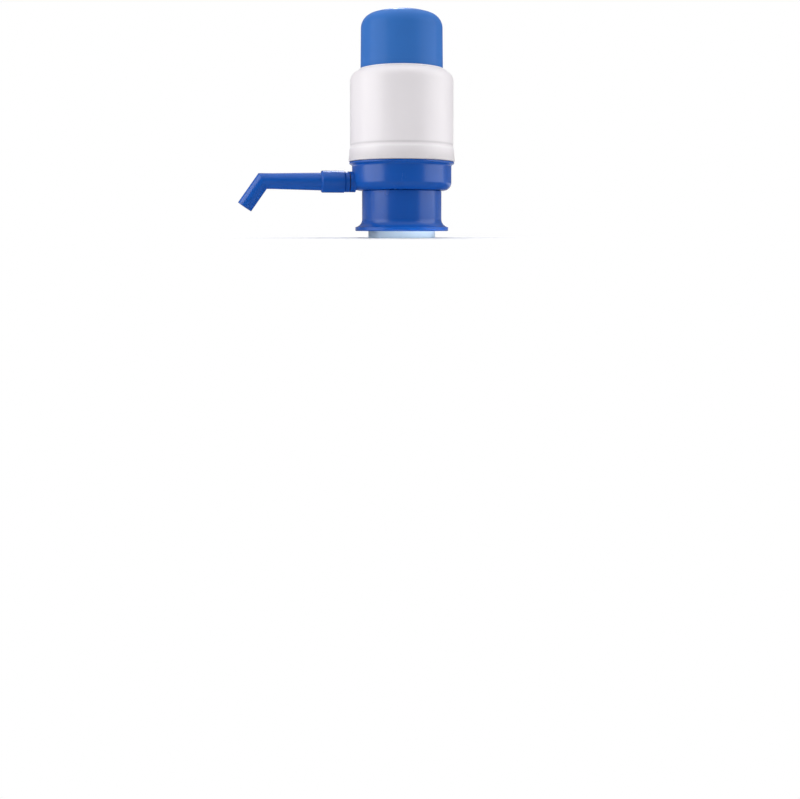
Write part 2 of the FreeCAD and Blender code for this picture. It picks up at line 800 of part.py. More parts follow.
def addValveHoles(body, low, high):
    """Stem hole and six air holes, all covered by the valve's disc."""
    under = low - CUT_PAST
    over = high + CUT_PAST
    pocketCircle(body, "StemHole", dim["stem_hole_radius"], under, over)
    hole = pocketCircle(body, "ValveHole", dim["valve_hole_radius"], under, over,
                        x=dim["valve_hole_circle"])
    around(body, "ValveHoles", hole, 6)


def makeValveDeck():
    """Round partition with a rebate for its seal, a ring for the spring and ribs below."""
    body = newBody("valve_deck")
    low = dim["ledge_top"]
    top = dim["deck_top"]
    guide = dim["spring_guide_radius"]
    revolve(body, "DeckPlate", [
        (0, low),
        (dim["rebate_radius"], low),
        (dim["rebate_radius"], low + dim["rebate_height"]),
        (dim["deck_radius"], low + dim["rebate_height"]),
        (dim["deck_radius"], top),
        (guide, top),
        (guide - dim["guide_draft"], top + dim["guide_height"]),
        (guide - dim["guide_thick"], top + dim["guide_height"]),
        (guide - dim["guide_thick"], top),
        (0, top),
    ])
    rib = slab(body, "DeckRib", "PartDesign::Pad", [
        (dim["valve_radius"] + 2, low - dim["rib_height"]),
        (dim["well_radius"] - 3, low - dim["rib_height"]),
        (dim["well_radius"], low + JOIN_IN),
        (dim["valve_radius"] + 1, low + JOIN_IN),
    ], dim["rib_thick"])
    around(body, "DeckRibs", rib, 8)
    addValveHoles(body, low, top)
    reach = screwReach()
    hole = pocketCircle(body, "DeckScrewHole", dim["screw_hole_radius"], low - CUT_PAST,
                        top + CUT_PAST, reach, reach)
    around(body, "DeckScrewHoles", hole, 4)
    return body


def makeValve(name, seat, plateTop):
    """Soft valve: a domed disc under its plate, a stem through it and a bulb above."""
    body = newBody(name)
    disc = dim["valve_radius"]
    stem = dim["stem_hole_radius"] - PLAY
    rise = plateTop - seat
    centreThick = 1.5
    rimThick = 0.5
    bulbOver = 0.7
    bulbHigh = 2.6
    revolve(body, "ValveDisc", [
        (0, -centreThick),
        (disc / 3, PLAY - centreThick),
        (disc, -rimThick),
        (disc, 0),
        (stem, 0),
        (stem, rise),
        (stem + bulbOver, rise + PLAY),
        (stem + bulbOver / 2, rise + bulbHigh * 0.7),
        (0, rise + bulbHigh),
    ])
    place(body, z=seat)
    return body


def makeDeckSeal():
    """O-ring in the deck's rebate."""
    ring = primitive("Part::Torus", "deck_seal", {
        "Radius1": dim["deck_ring_radius"], "Radius2": dim["deck_ring_thick"]})
    ring.Label = "deck_seal"
    place(ring, z=dim["ledge_top"] + dim["deck_ring_thick"])
    subParts.append(ring)
    return ring


def makeClampRing():
    """Ring that presses the bellows' foot on the deck, with countersunk screw holes."""
    body = newBody("bellows_clamp_ring")
    low = dim["foot_top"]
    top = dim["clamp_top"]
    ease = 0.5
    revolve(body, "RingPlate", [
        (dim["clamp_inner_radius"], low),
        (dim["clamp_outer_radius"], low),
        (dim["clamp_outer_radius"], top - ease),
        (dim["clamp_outer_radius"] - ease, top),
        (dim["clamp_inner_radius"], top),
    ])
    reach = screwReach()
    hole = pocketCircle(body, "ScrewHole", dim["screw_hole_radius"], low - CUT_PAST,
                        top + CUT_PAST, reach, reach)
    around(body, "ScrewHoles", hole, 4)
    edges = circleEdges(body.Tip, dim["screw_hole_radius"], top)
    chamfer(body, "Countersinks", edges, dim["screw_head_radius"] - dim["screw_hole_radius"])
    return body


# ---- bellows and spring ----

FOLDS = 5
SPRING_HALF_TURNS = 10


def makeBellows():
    """Soft air chamber: flat foot, five folds and a rim that wraps the top plate."""
    body = newBody("bellows")
    root = dim["bellows_root_radius"]
    crest = dim["bellows_crest_radius"]
    wall = dim["bellows_wall"]
    pitch = (dim["folds_high"] - dim["folds_low"]) / FOLDS
    thin = 0.2
    thick = 1.0
    outside = [
        (root - wall, dim["deck_top"]),
        (dim["clamp_outer_radius"], dim["deck_top"]),
        (dim["clamp_outer_radius"], dim["foot_top"]),
        (root, dim["foot_top"]),
    ]
    inside = []
    for fold in range(FOLDS):
        low = dim["folds_low"] + pitch * fold
        middle = low + pitch / 2
        outside += [(root, low + thin), (crest, middle - thick), (crest, middle + thick),
                    (root, low + pitch - thin)]
        inside += [(root - wall, low + thick), (crest - wall, middle - thin),
                   (crest - wall, middle + thin), (root - wall, low + pitch - thick)]
    lipOver = 0.6
    groovePlay = 0.3
    grooveRadius = dim["plate_radius"] + groovePlay
    grooveLow = dim["plate_low"] - PLAY
    grooveTop = dim["plate_top"] + PLAY
    rim = [
        (root, dim["bead_low"]),
        (dim["bead_radius"], dim["bead_low"]),
        (dim["bead_radius"], dim["bead_top"]),
        (root + lipOver, dim["bead_top"]),
        (root + lipOver, grooveTop),
        (grooveRadius, grooveTop),
        (grooveRadius, grooveLow),
        (root - wall, grooveLow),
    ]
    inside.reverse()
    revolve(body, "BellowsWall", outside + rim + inside)
    reach = screwReach()
    hole = pocketCircle(body, "FootHole", dim["screw_hole_radius"], dim["deck_top"] - CUT_PAST,
                        dim["foot_top"] + CUT_PAST, reach, reach)
    around(body, "FootHoles", hole, 4)
    return body


def makeReturnSpring():
    """Coil between the deck and the top plate, made of half turns that lean to and fro."""
    wire = dim["spring_wire"]
    reach = dim["spring_radius"]
    closed = [dim["spring_end_rise"]] * 2
    rises = closed + [dim["spring_rise"]] * SPRING_HALF_TURNS + closed
    endPlay = 0.15
    height = dim["deck_top"] + wire + endPlay
    halves = []
    for index, rise in enumerate(rises):
        half = primitive("Part::Torus", "HalfTurn%d" % index, {
            "Radius1": root(reach * reach + rise * rise / 4), "Radius2": wire, "Angle3": 180})
        lean = math.degrees(math.atan2(number(rise) / 2, number(reach)))
        side = index % 2
        tilted = Rotation(Vector(0, 1, 0), lean * (1 - 2 * side))
        place(half, z=height + rise / 2, turn=tilted * Rotation(Vector(0, 0, 1), 180 * side))
        height = height + rise
        halves.append(half)
    spring = doc.addObject("Part::MultiFuse", "return_spring")
    spring.Label = "return_spring"
    spring.Shapes = halves
    subParts.append(spring)
    doc.recompute()
    return spring


# ---- cap and what rides on it ----

def makeTopPlate():
    """Plate that closes the bellows: valve holes, screw holes, ribs and the spring's ring."""
    body = newBody("bellows_top_plate")
    low = dim["plate_low"]
    top = dim["plate_top"]
    guide = dim["spring_guide_radius"]
    revolve(body, "PlateDisc", [
        (0, low),
        (guide - dim["guide_thick"], low),
        (guide - dim["guide_thick"], low - dim["guide_height"]),
        (guide - dim["guide_draft"], low - dim["guide_height"]),
        (guide, low),
        (dim["plate_radius"], low),
        (dim["plate_radius"], top),
        (0, top),
    ])
    rib = slab(body, "PlateRib", "PartDesign::Pad", [
        (dim["valve_radius"], top - JOIN_IN),
        (dim["bellows_root_radius"] - 1, top - JOIN_IN),
        (dim["bellows_root_radius"] - 3, top + dim["rib_height"]),
        (dim["valve_radius"] + 1, top + dim["rib_height"]),
    ], dim["rib_thick"])
    around(body, "PlateRibs", rib, 6)
    addValveHoles(body, low, top)
    hole = pocketCircle(body, "PlateScrewHole", dim["screw_hole_radius"], low - CUT_PAST,
                        top + CUT_PAST, y=dim["cap_screw_circle"])
    around(body, "PlateScrewHoles", hole, 3)
    return body


def makePressCap():
    """Domed cap: tapered wall, shallow crown, guide flange, inner ribs and screw bosses."""
    body = newBody("press_cap")
    wall = dim["cap_wall"]
    foot = dim["cap_foot_radius"]
    head = dim["cap_head_radius"]
    crown = dim["crown_radius"]
    apex = dim["cap_apex"]
    outerTop = domeHeight(apex, crown, head)
    innerTop = domeHeight(apex - wall, crown - wall, head - wall)
    flangeTop = dim["guide_flange_top"]
    low = flangeTop - JOIN_IN
    revolve(body, "CapWall", [
        (foot - wall, low),
        (foot, low),
        (head, outerTop, crown),
        (0, apex),
        (0, apex - wall, -(crown - wall)),
        (head - wall, innerTop),
    ])
    knuckle = dim["knuckle_radius"]
    fillet(body, "InnerKnuckle", circleEdges(body.Tip, head - wall, innerTop), knuckle - wall)
    fillet(body, "OuterKnuckle", circleEdges(body.Tip, head, outerTop), knuckle)
    revolve(body, "GuideFlange", [
        (foot - wall, dim["cap_low"]),
        (dim["guide_flange_radius"], dim["cap_low"]),
        (dim["guide_flange_radius"], flangeTop),
        (foot - wall, flangeTop),
    ])
    window = slab(body, "Breather", "PartDesign::Pocket", [
        (foot - wall - CUT_PAST * 3, flangeTop),
        (foot + CUT_PAST, flangeTop),
        (foot + CUT_PAST, flangeTop + dim["breather_height"]),
        (foot - wall - CUT_PAST * 3, flangeTop + dim["breather_height"]),
    ], dim["breather_width"])
    around(body, "Breathers", window, 4)
    notch = slab(body, "FlangeNotch", "PartDesign::Pocket", [
        (dim["guide_flange_radius"] - dim["notch_depth"], dim["cap_low"] - CUT_PAST),
        (dim["guide_flange_radius"] + CUT_PAST, dim["cap_low"] - CUT_PAST),
        (dim["guide_flange_radius"] + CUT_PAST, flangeTop + CUT_PAST),
        (dim["guide_flange_radius"] - dim["notch_depth"], flangeTop + CUT_PAST),
    ], dim["notch_width"])
    around(body, "FlangeNotches", notch, 4)
    addCapRibs(body, foot - wall)
    return body


def addCapRibs(body, inside):
    """Six upright ribs on the wall and three screw bosses under the crown."""
    ribTop = dim["cap_apex"] - dim["knuckle_radius"]
    ribFoot = dim["guide_flange_top"] + dim["breather_height"] + 2
    ribInner = inside - dim["cap_rib_depth"]
    ribOuter = inside + JOIN_IN
    pilotDepth = 14
    bossAngle = 16
    rib = slab(body, "CapRib", "PartDesign::Pad", [
        (ribInner, ribFoot),
        (ribOuter, ribFoot),
        (ribOuter, ribTop),
        (ribInner, ribTop),
    ], dim["rib_thick"])
    around(body, "CapRibs", rib, 6)
    bossInner = dim["cap_screw_circle"] - dim["cap_boss_radius"]
    bossOuter = dim["cap_screw_circle"] + dim["cap_boss_radius"]
    midWall = dim["cap_wall"] / 2
    apex = dim["cap_apex"] - midWall
    crown = dim["crown_radius"] - midWall
    boss = sector(body, "CapBoss", [
        (bossInner, dim["plate_top"]),
        (bossOuter, dim["plate_top"]),
        (bossOuter, domeHeight(apex, crown, bossOuter)),
        (bossInner, domeHeight(apex, crown, bossInner)),
    ], bossAngle)
    around(body, "CapBosses", boss, 3)
    pilot = pocketCircle(body, "CapPilot", dim["pilot_radius"], dim["plate_top"] - CUT_PAST,
                         dim["plate_top"] + pilotDepth, y=dim["cap_screw_circle"])
    around(body, "CapPilots", pilot, 3)


# ---- sleeve ----

def makeSleeve():
    """White housing: flared band, straight wall, round shoulder, raised lip, inner guide."""
    body = newBody("sleeve")
    outer = dim["sleeve_radius"]
    inner = dim["sleeve_inner_radius"]
    start = dim["shoulder_start"]
    turn = dim["shoulder_radius"]
    bead = dim["snap_bead"]
    beadLow = dim["snap_low"]
    beadPlay = 0.3
    footEdge = 1.2
    roofLow = start + 6.0
    roofReach = 3.4
    crownWidth = dim["lip_radius"] - (outer - turn)
    lipFoot = start + root(turn * turn - crownWidth * crownWidth)
    revolve(body, "SleeveWall", [
        (inner, dim["sleeve_low"]),
        (dim["sleeve_foot_radius"], dim["sleeve_low"]),
        (dim["sleeve_foot_radius"], dim["sleeve_low"] + footEdge, -dim["foot_flare"]),
        (dim["band_radius"], dim["band_top"], -dim["valley_radius"]),
        (outer, dim["valley_top"]),
        (outer, start, turn),
        (dim["lip_radius"], lipFoot),
        (dim["lip_radius"], dim["lip_top"]),
        (dim["lip_bore_radius"], dim["lip_top"]),
        (dim["lip_bore_radius"], dim["guide_low"]),
        (dim["guide_radius"], dim["guide_low"]),
        (dim["guide_radius"], roofLow),
        (inner - roofReach, roofLow),
        (inner, start + 0.6),
        (inner, beadLow + dim["snap_width"] + beadPlay),
        (inner + bead, beadLow + bead + beadPlay),
        (inner, beadLow - beadPlay),
    ])
    edges = circleEdges(body.Tip, dim["lip_radius"], dim["lip_top"])
    fillet(body, "LipEdge", edges, dim["lip_round"])
    edges = circleEdges(body.Tip, dim["lip_bore_radius"], dim["lip_top"])
    fillet(body, "BoreEdge", edges, dim["fine_round"])
    edges = circleEdges(body.Tip, dim["sleeve_foot_radius"], dim["sleeve_low"])
    fillet(body, "FootEdge", edges, dim["edge_round"])
    return body


# ---- screws ----

def makeScrews(name, angles, circle, shank, head):
    """A ring of equal screws. shank is (low, high); head is (low, high, radius, radius)."""
    screws = []
    for index, degrees in enumerate(angles):
        x = circle * math.cos(math.radians(degrees))
        y = circle * math.sin(math.radians(degrees))
        rod = primitive("Part::Cylinder", "%s_shank%d" % (name, index), {
            "Radius": dim["screw_radius"], "Height": shank[1] - shank[0]})
        place(rod, x=x, y=y, z=shank[0])
        top = primitive("Part::Cone", "%s_head%d" % (name, index), {
            "Height": head[1] - head[0], "Radius1": head[2], "Radius2": head[3]})
        place(top, x=x, y=y, z=head[0])
        screw = doc.addObject("Part::Fuse", "%s_%d" % (name, index))
        screw.Base = rod
        screw.Tool = top
        screws.append(screw)
    return group(name, screws)


def makeDeckScrews():
    """Countersunk screws through clamp ring, bellows' foot and deck into the base."""
    top = dim["clamp_top"] - PLAY / 2
    sink = dim["screw_head_radius"] - dim["screw_hole_radius"] + PLAY
    return makeScrews("deck_screws", (45, 135, 225, 315), dim["deck_screw_circle"],
                      (top - dim["deck_screw_length"], top),
                      (top - sink, top, dim["screw_radius"], dim["screw_head_radius"] - PLAY))


def makeCapScrews():
    """Pan head screws from below, through the top plate into the cap's bosses."""
    seat = dim["plate_low"]
    wide = dim["screw_head_radius"]
    draft = 0.6
    return makeScrews("cap_screws", (90, 210, 330), dim["cap_screw_circle"],
                      (seat - JOIN_IN, seat + dim["cap_screw_length"]),
                      (seat - dim["screw_head_height"], seat, wide - draft, wide))


def writeParts():
    """Checks every object and sub-part, then writes one STEP file per sub-part."""
    doc.recompute()
    for item in doc.Objects:
        if "Invalid" in item.State or "Error" in item.State:
            raise ValueError("%s failed: %s" % (item.Name, item.getStatusString()))
    for part in subParts:
        if part.Shape.isNull() or not part.Shape.isValid():
            raise ValueError("%s has no valid shape" % part.Label)
    os.makedirs("parts", exist_ok=True)
    for part in subParts:
        part.Shape.exportStep("parts/%s.step" % part.Label)
        print(part.Label, len(part.Shape.Solids), "solids", round(part.Shape.Volume), "mm3")


makeNeckCollet()
makeClampCollar()
makeNeckGasket()
makeBaseBody()
makeSpoutNipple()
makeNippleSeal()
makeSpoutRings()
makeSpout()
makeValveDeck()
makeDeckSeal()
makeClampRing()
makeDeckScrews()
makeValve("outlet_valve", dim["ledge_top"], dim["deck_top"])
makeBellows()
makeReturnSpring()
makeTopPlate()
makeValve("intake_valve", dim["plate_low"], dim["plate_top"])
makeCapScrews()
makePressCap()
makeSleeve()
writeParts()
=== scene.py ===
import math

import bmesh
import bpy
from mathutils import Matrix, Vector


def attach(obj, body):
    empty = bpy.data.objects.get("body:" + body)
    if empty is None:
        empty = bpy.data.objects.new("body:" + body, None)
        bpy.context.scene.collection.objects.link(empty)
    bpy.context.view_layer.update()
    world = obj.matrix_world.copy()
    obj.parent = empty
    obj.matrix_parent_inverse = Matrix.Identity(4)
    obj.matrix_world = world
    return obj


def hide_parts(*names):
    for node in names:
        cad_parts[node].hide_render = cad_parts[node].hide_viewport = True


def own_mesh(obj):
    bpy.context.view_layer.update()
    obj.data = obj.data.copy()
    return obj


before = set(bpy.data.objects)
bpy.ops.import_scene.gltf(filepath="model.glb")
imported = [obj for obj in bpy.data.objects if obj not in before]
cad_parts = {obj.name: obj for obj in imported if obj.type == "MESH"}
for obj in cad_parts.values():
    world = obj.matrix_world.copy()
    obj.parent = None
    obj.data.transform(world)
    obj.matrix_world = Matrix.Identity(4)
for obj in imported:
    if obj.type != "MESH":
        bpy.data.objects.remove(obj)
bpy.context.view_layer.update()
mm = 0.001


def addObject(name, data):
    item = bpy.data.objects.new(name, data)
    bpy.context.collection.objects.link(item)
    return item


# camera: low in front of the pump, a little to the spout's side

cameraSet = {
    "distance": 0.8352,     # from the pump's axis, m
    "azimuth": -12.0,       # 0 looks along +Y
    "height": 0.010,        # above the floor, m
    "tilt": 3.12,           # downwards, degrees
    "focalPixels": 979.8,
    "frameWidth": 800.0,
    "frameHeight": 799.0,
    "horizonPixel": 226.1,  # from the frame's top
    "axisPixel": 401.72,    # from the frame's left edge
    "sensorWidth": 36,      # mm
    "clip": (0.01, 20),     # m
}


def makeCamera():
    s = cameraSet
    turn, tilt = math.radians(s["azimuth"]), math.radians(s["tilt"])
    back = Vector((math.sin(turn), -math.cos(turn), 0))
    data = bpy.data.cameras.new("pumpCamera")
    camera = addObject("pumpCamera", data)
    camera.location = back * s["distance"] + Vector((0, 0, s["height"]))
    camera.rotation_euler = (math.pi / 2 - tilt, 0, turn)
    data.sensor_width = s["sensorWidth"]
    data.lens = s["sensorWidth"] * s["focalPixels"] / s["frameWidth"]
    lift = s["frameHeight"] / 2 - s["horizonPixel"] - s["focalPixels"] * math.tan(tilt)
    data.shift_x = (s["frameWidth"] / 2 - s["axisPixel"]) / s["frameWidth"]
    data.shift_y = -lift / s["frameWidth"]
    data.clip_start, data.clip_end = s["clip"]
    bpy.context.scene.camera = camera
    print("camera: lens %.1f mm, shift %.3f %.3f" % (data.lens, data.shift_x, data.shift_y))


# node helpers

def wire(tree, start, end):
    tree.links.new(start, end)


def feed(tree, value, socket):
    # a number or a colour is set on the socket, and another node's output is wired to it
    if isinstance(value, (int, float)):
        socket.default_value = value
    elif isinstance(value, tuple):
        socket.default_value = (*value, 1)
    else:
        wire(tree, value, socket)


def addNode(tree, kind, **values):
    node = tree.nodes.new(kind)
    for key, value in values.items():
        setattr(node, key, value)
    return node


def mathNode(tree, operation, first, second=None, clamp=False):
    node = addNode(tree, "ShaderNodeMath", operation=operation, use_clamp=clamp)
    feed(tree, first, node.inputs[0])
    if second is not None:
        feed(tree, second, node.inputs[1])
    return node.outputs[0]


def mapRange(tree, value, low, high, newLow, newHigh, smooth=False):
    node = addNode(tree, "ShaderNodeMapRange")
    if smooth:
        node.interpolation_type = "SMOOTHSTEP"
    for name, item in (("Value", value), ("From Min", low), ("From Max", high),
                       ("To Min", newLow), ("To Max", newHigh)):
        feed(tree, item, node.inputs[name])
    return node.outputs["Result"]


def mixColour(tree, factor, first, second):
    node = addNode(tree, "ShaderNodeMix", data_type="RGBA")
    wire(tree, factor, node.inputs["Factor"])
    for name, value in (("A", first), ("B", second)):
        feed(tree, value, next(item for item in node.inputs if item.name == name and item.type == "RGBA"))
    return next(item for item in node.outputs if item.type == "RGBA")


def noise(tree, vector, scale, detail=2.0, roughness=0.5):
    node = addNode(tree, "ShaderNodeTexNoise")
    wire(tree, vector, node.inputs["Vector"])
    for name, value in (("Scale", scale), ("Detail", detail), ("Roughness", roughness)):
        feed(tree, value, node.inputs[name])
    return node.outputs["Fac"]


def splitAxes(tree, place):
    node = addNode(tree, "ShaderNodeSeparateXYZ")
    wire(tree, place, node.inputs[0])
    return node.outputs


def newGroup(name, inputs, outputs):
    group = bpy.data.node_groups.new(name, "ShaderNodeTree")
    for label, value in inputs:
        socket = group.interface.new_socket(label, in_out="INPUT", socket_type="NodeSocketFloat")
        socket.default_value = value
    for label in outputs:
        group.interface.new_socket(label, in_out="OUTPUT", socket_type="NodeSocketFloat")
    return group, group.nodes.new("NodeGroupInput"), group.nodes.new("NodeGroupOutput")


def groupIn(tree, group, **values):
    node = addNode(tree, "ShaderNodeGroup", node_tree=group)
    for key, value in values.items():
        node.inputs[key].default_value = value
    return node


def newMaterial(name):
    material = bpy.data.materials.new(name)
    material.use_nodes = True
    return material, material.node_tree


def addBump(tree, height, distance, shader):
    bump = addNode(tree, "ShaderNodeBump")
    bump.inputs["Distance"].default_value = distance
    wire(tree, height, bump.inputs["Height"])
    wire(tree, bump.outputs["Normal"], shader.inputs["Normal"])


# shared effects of moulded plastic; scales are in noise cells per metre

skinSet = {
    "grainDetail": 3, "grainRough": 0.6,
    "toneScale": 24,
    "streakScale": 160, "streakRough": 0.55, "streakStretch": (1, 1, 0.06),
    "scuffScale": 90, "scuffSlant": (0.6, 0.9, 0.4), "scuffStretch": (1, 14, 1), "scuffWidth": 0.012,
    "patchScale": 38, "patchFrom": 0.52, "patchTo": 0.70,
}


def makeMouldedSkin():
    # fine spark texture of the mould, slow tone changes and a few hairline scuffs
    s = skinSet
    group, given, out = newGroup("mouldedSkin", [("Grain Size", 0.4), ("Streak", 0.5)],
                                 ["Grain", "Tone", "Scuff"])
    place = addNode(group, "ShaderNodeTexCoord").outputs["Object"]
    scale = mathNode(group, "DIVIDE", 1 / mm, given.outputs["Grain Size"])
    wire(group, noise(group, place, scale, s["grainDetail"], s["grainRough"]), out.inputs["Grain"])
    slow = noise(group, place, s["toneScale"])
    stretch = addNode(group, "ShaderNodeMapping")
    stretch.inputs["Scale"].default_value = s["streakStretch"]
    wire(group, place, stretch.inputs["Vector"])
    streak = noise(group, stretch.outputs["Vector"], s["streakScale"], roughness=s["streakRough"])
    part = mathNode(group, "MULTIPLY", mathNode(group, "SUBTRACT", streak, 0.5), given.outputs["Streak"])
    wire(group, mathNode(group, "ADD", slow, part, clamp=True), out.inputs["Tone"])
    slant = addNode(group, "ShaderNodeMapping")
    slant.inputs["Rotation"].default_value = s["scuffSlant"]
    slant.inputs["Scale"].default_value = s["scuffStretch"]
    wire(group, place, slant.inputs["Vector"])
    hair = noise(group, slant.outputs["Vector"], s["scuffScale"], detail=1)
    patch = mapRange(group, noise(group, place, s["patchScale"], detail=1), s["patchFrom"], s["patchTo"],
                     0, 1, smooth=True)
    gap = mathNode(group, "ABSOLUTE", mathNode(group, "SUBTRACT", hair, 0.5))
    line = mapRange(group, gap, 0.0, s["scuffWidth"], 1, 0)
    wire(group, mathNode(group, "MULTIPLY", line, patch), out.inputs["Scuff"])
    return group


rimSet = {"patchScale": 420, "patchDetail": 3, "patchRough": 0.6, "patchFrom": 0.30, "patchTo": 0.70}


def makeRimMask():
    # strongest at a round edge of this radius and height about the pump's axis, and 0 beyond its reach;
    # it is patchy, and Evenness is what is left of it where it is weakest
    s = rimSet
    group, given, out = newGroup("rimMask", [("Radius", 0.04), ("Height", 0.1), ("Reach", 0.001),
                                             ("Evenness", 0.25)], ["Mask"])
    place = addNode(group, "ShaderNodeTexCoord").outputs["Object"]
    axes = splitAxes(group, place)

    def hypotenuse(first, second):
        return mathNode(group, "SQRT", mathNode(
            group, "ADD", mathNode(group, "POWER", first, 2), mathNode(group, "POWER", second, 2)))

    radius = hypotenuse(axes["X"], axes["Y"])
    sideGap = mathNode(group, "SUBTRACT", radius, given.outputs["Radius"])
    upGap = mathNode(group, "SUBTRACT", axes["Z"], given.outputs["Height"])
    near = mapRange(group, hypotenuse(sideGap, upGap), 0.0, given.outputs["Reach"], 1, 0, smooth=True)
    patch = noise(group, place, s["patchScale"], s["patchDetail"], s["patchRough"])
    broken = mapRange(group, patch, s["patchFrom"], s["patchTo"], given.outputs["Evenness"], 1)
    wire(group, mathNode(group, "MULTIPLY", near, broken), out.inputs["Mask"])
    return group


def makePartingLine():
    # the raised hairline that two mould halves leave, on the plane y = 0
    group, given, out = newGroup("partingLine", [("Width", 0.00012)], ["Line"])
    place = addNode(group, "ShaderNodeTexCoord").outputs["Object"]
    gap = mathNode(group, "ABSOLUTE", splitAxes(group, place)["Y"])
    wire(group, mapRange(group, gap, 0.0, given.outputs["Width"], 1, 0, smooth=True), out.inputs["Line"])
    return group


skin = makeMouldedSkin()
rim = makeRimMask()
parting = makePartingLine()
print("node groups made")


# finishes: colour, darker tone, roughness range, grain in mm and bump in m. A lighter edge, of wear and
# painted highlight, or a darker edge of painted shade is its radius, height and reach in m, and its evenness
# where it isn't the usual one; a gate is such a spot.

finishes = {
    "capBlue": {
        "colour": (0.041, 0.172, 0.536), "tone": (0.039, 0.166, 0.522), "rough": (0.42, 0.46),
        "grain": 0.35, "bump": 0.00003, "streak": 0.25, "scuff": 0.5, "specular": 0.10, "coat": 0.10,
        # lighter round the dome's top edge
        "wearAndHighlight": [(0.0308, 0.1844, 0.0035)], "wearAndHighlightColour": (0.068, 0.208, 0.580),
        "gate": (0.0, 0.1917, 0.0014)},
    "baseBlue": {
        "colour": (0.006, 0.095, 0.458), "tone": (0.005, 0.090, 0.446), "rough": (0.24, 0.28),
        "grain": 0.5, "bump": 0.000010, "streak": 0.2, "scuff": 0.2, "specular": 0.55,
        # lighter at the edges of the base's flange and of the collar's flange
        "wearAndHighlight": [(0.04435, 0.0622, 0.0009), (0.0395, 0.0065, 0.0011)], "wearAndHighlightColour": (0.020, 0.120, 0.490)},
    "housingWhite": {
        "colour": (0.885, 0.848, 0.876), "tone": (0.880, 0.842, 0.871), "rough": (0.30, 0.31),
        "grain": 0.6, "bump": 0.000012, "streak": 0.15, "scuff": 0.0, "specular": 0.5,
        # the lighter rims at the lip and at the lower band's step are painted highlights, where light from
        # above falls on faces that look up
        "wearAndHighlight": [(0.0442, 0.0750, 0.0016, 0.9), (0.0366, 0.1413, 0.0022, 0.9)],
        "wearAndHighlightColour": (0.960, 0.950, 0.960),
        # the darker rims are painted shade: at the lip by the cap, in the hollow above the band's step, and
        # over the whole lower band
        "paintedShade": [(0.0371, 0.1399, 0.0008), (0.0450, 0.0660, 0.0100, 0.85), (0.0436, 0.0782, 0.0015, 0.9)]},
    "gripWhite": {
        "colour": (0.650, 0.810, 0.945), "tone": (0.630, 0.790, 0.925), "rough": (0.34, 0.44),
        "grain": 0.4, "bump": 0.00002, "streak": 0.3, "scuff": 0.3, "specular": 0.45,
        # painted shade on the grip's band just under the collar's flange
        "paintedShade": [(0.0284, 0.0082, 0.0020)]},
    "innerWhite": {
        "colour": (0.800, 0.800, 0.780), "tone": (0.760, 0.760, 0.740), "rough": (0.42, 0.55),
        "grain": 0.5, "bump": 0.00003, "streak": 0.4, "scuff": 0.3, "specular": 0.45},
    "bellowsSoft": {
        "colour": (0.740, 0.750, 0.710), "tone": (0.680, 0.690, 0.645), "rough": (0.45, 0.60),
        "grain": 0.3, "bump": 0.00004, "streak": 0.3, "scuff": 0.2, "specular": 0.4},
    "milkySilicone": {
        "colour": (0.720, 0.730, 0.730), "tone": (0.660, 0.675, 0.680), "rough": (0.35, 0.50),
        "grain": 0.3, "bump": 0.00002, "streak": 0.2, "scuff": 0.2, "specular": 0.4},
    "sealBlack": {
        "colour": (0.020, 0.020, 0.021), "tone": (0.034, 0.034, 0.034), "rough": (0.50, 0.68),
        "grain": 0.25, "bump": 0.00002, "streak": 0.2, "scuff": 0.3, "specular": 0.35},
}
wearAndPaintedLightSet = {
    "toneFrom": 0.30, "toneTo": 0.70, "roughFrom": 0.25, "roughTo": 0.75, "coatRough": 0.14,
    "wearAndHighlightMix": 0.55, "wearAndHighlightRough": 0.10,
    "paintedShadeMix": 0.22, "paintedShadeRough": 0.20, "paintedShadeColour": (0.16, 0.15, 0.14),
    "scuffRough": 0.10, "scuffDepth": 0.5, "seamHeight": 1.2, "gateHeight": 5.0,
}


def rimSum(tree, rims):
    total = None
    for radius, height, reach, *evenness in rims:
        node = groupIn(tree, rim, Radius=radius, Height=height, Reach=reach)
        if evenness:
            node.inputs["Evenness"].default_value = evenness[0]
        mask = node.outputs["Mask"]
        total = mask if total is None else mathNode(tree, "MAXIMUM", total, mask)
    return total


